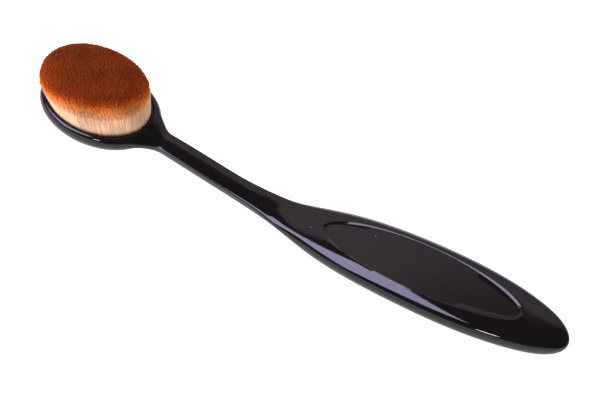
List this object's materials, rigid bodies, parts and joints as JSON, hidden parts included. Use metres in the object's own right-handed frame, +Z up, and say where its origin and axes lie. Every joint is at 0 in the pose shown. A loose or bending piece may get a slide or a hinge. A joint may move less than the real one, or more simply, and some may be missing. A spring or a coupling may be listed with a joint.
{
  "type": "oval foundation brush",
  "caption": "Foundation brush with a dense domed oval head of fibre in a cup, a slim springy neck and a broad curved grip with a thumb recess.",
  "frame": {"origin": "on the table plane, below the middle of the brush's bounding box", "axes": "+X along the handle from the head to the grip, +Y across the handle, +Z up out of the fibre side"},
  "size_m": [0.152, 0.0244, 0.0177],
  "materials": {
    "black_moulding": "polished black moulding",
    "tray_plastic": "satin black moulding",
    "glue": "cured glue",
    "resin": "cast resin",
    "fibre": "fine synthetic fibre, cream at the root and dark brown at the tip"
  },
  "bodies": {
    "root": {"handle": "black_moulding", "bristle_tray": "tray_plastic", "tray_adhesive": "glue", "potting_resin": "resin", "fibre_bundle_front_left": "fibre", "fibre_bundle_front_right": "fibre", "fibre_bundle_rear_left": "fibre", "fibre_bundle_rear_right": "fibre"}
  },
  "joints": []
}
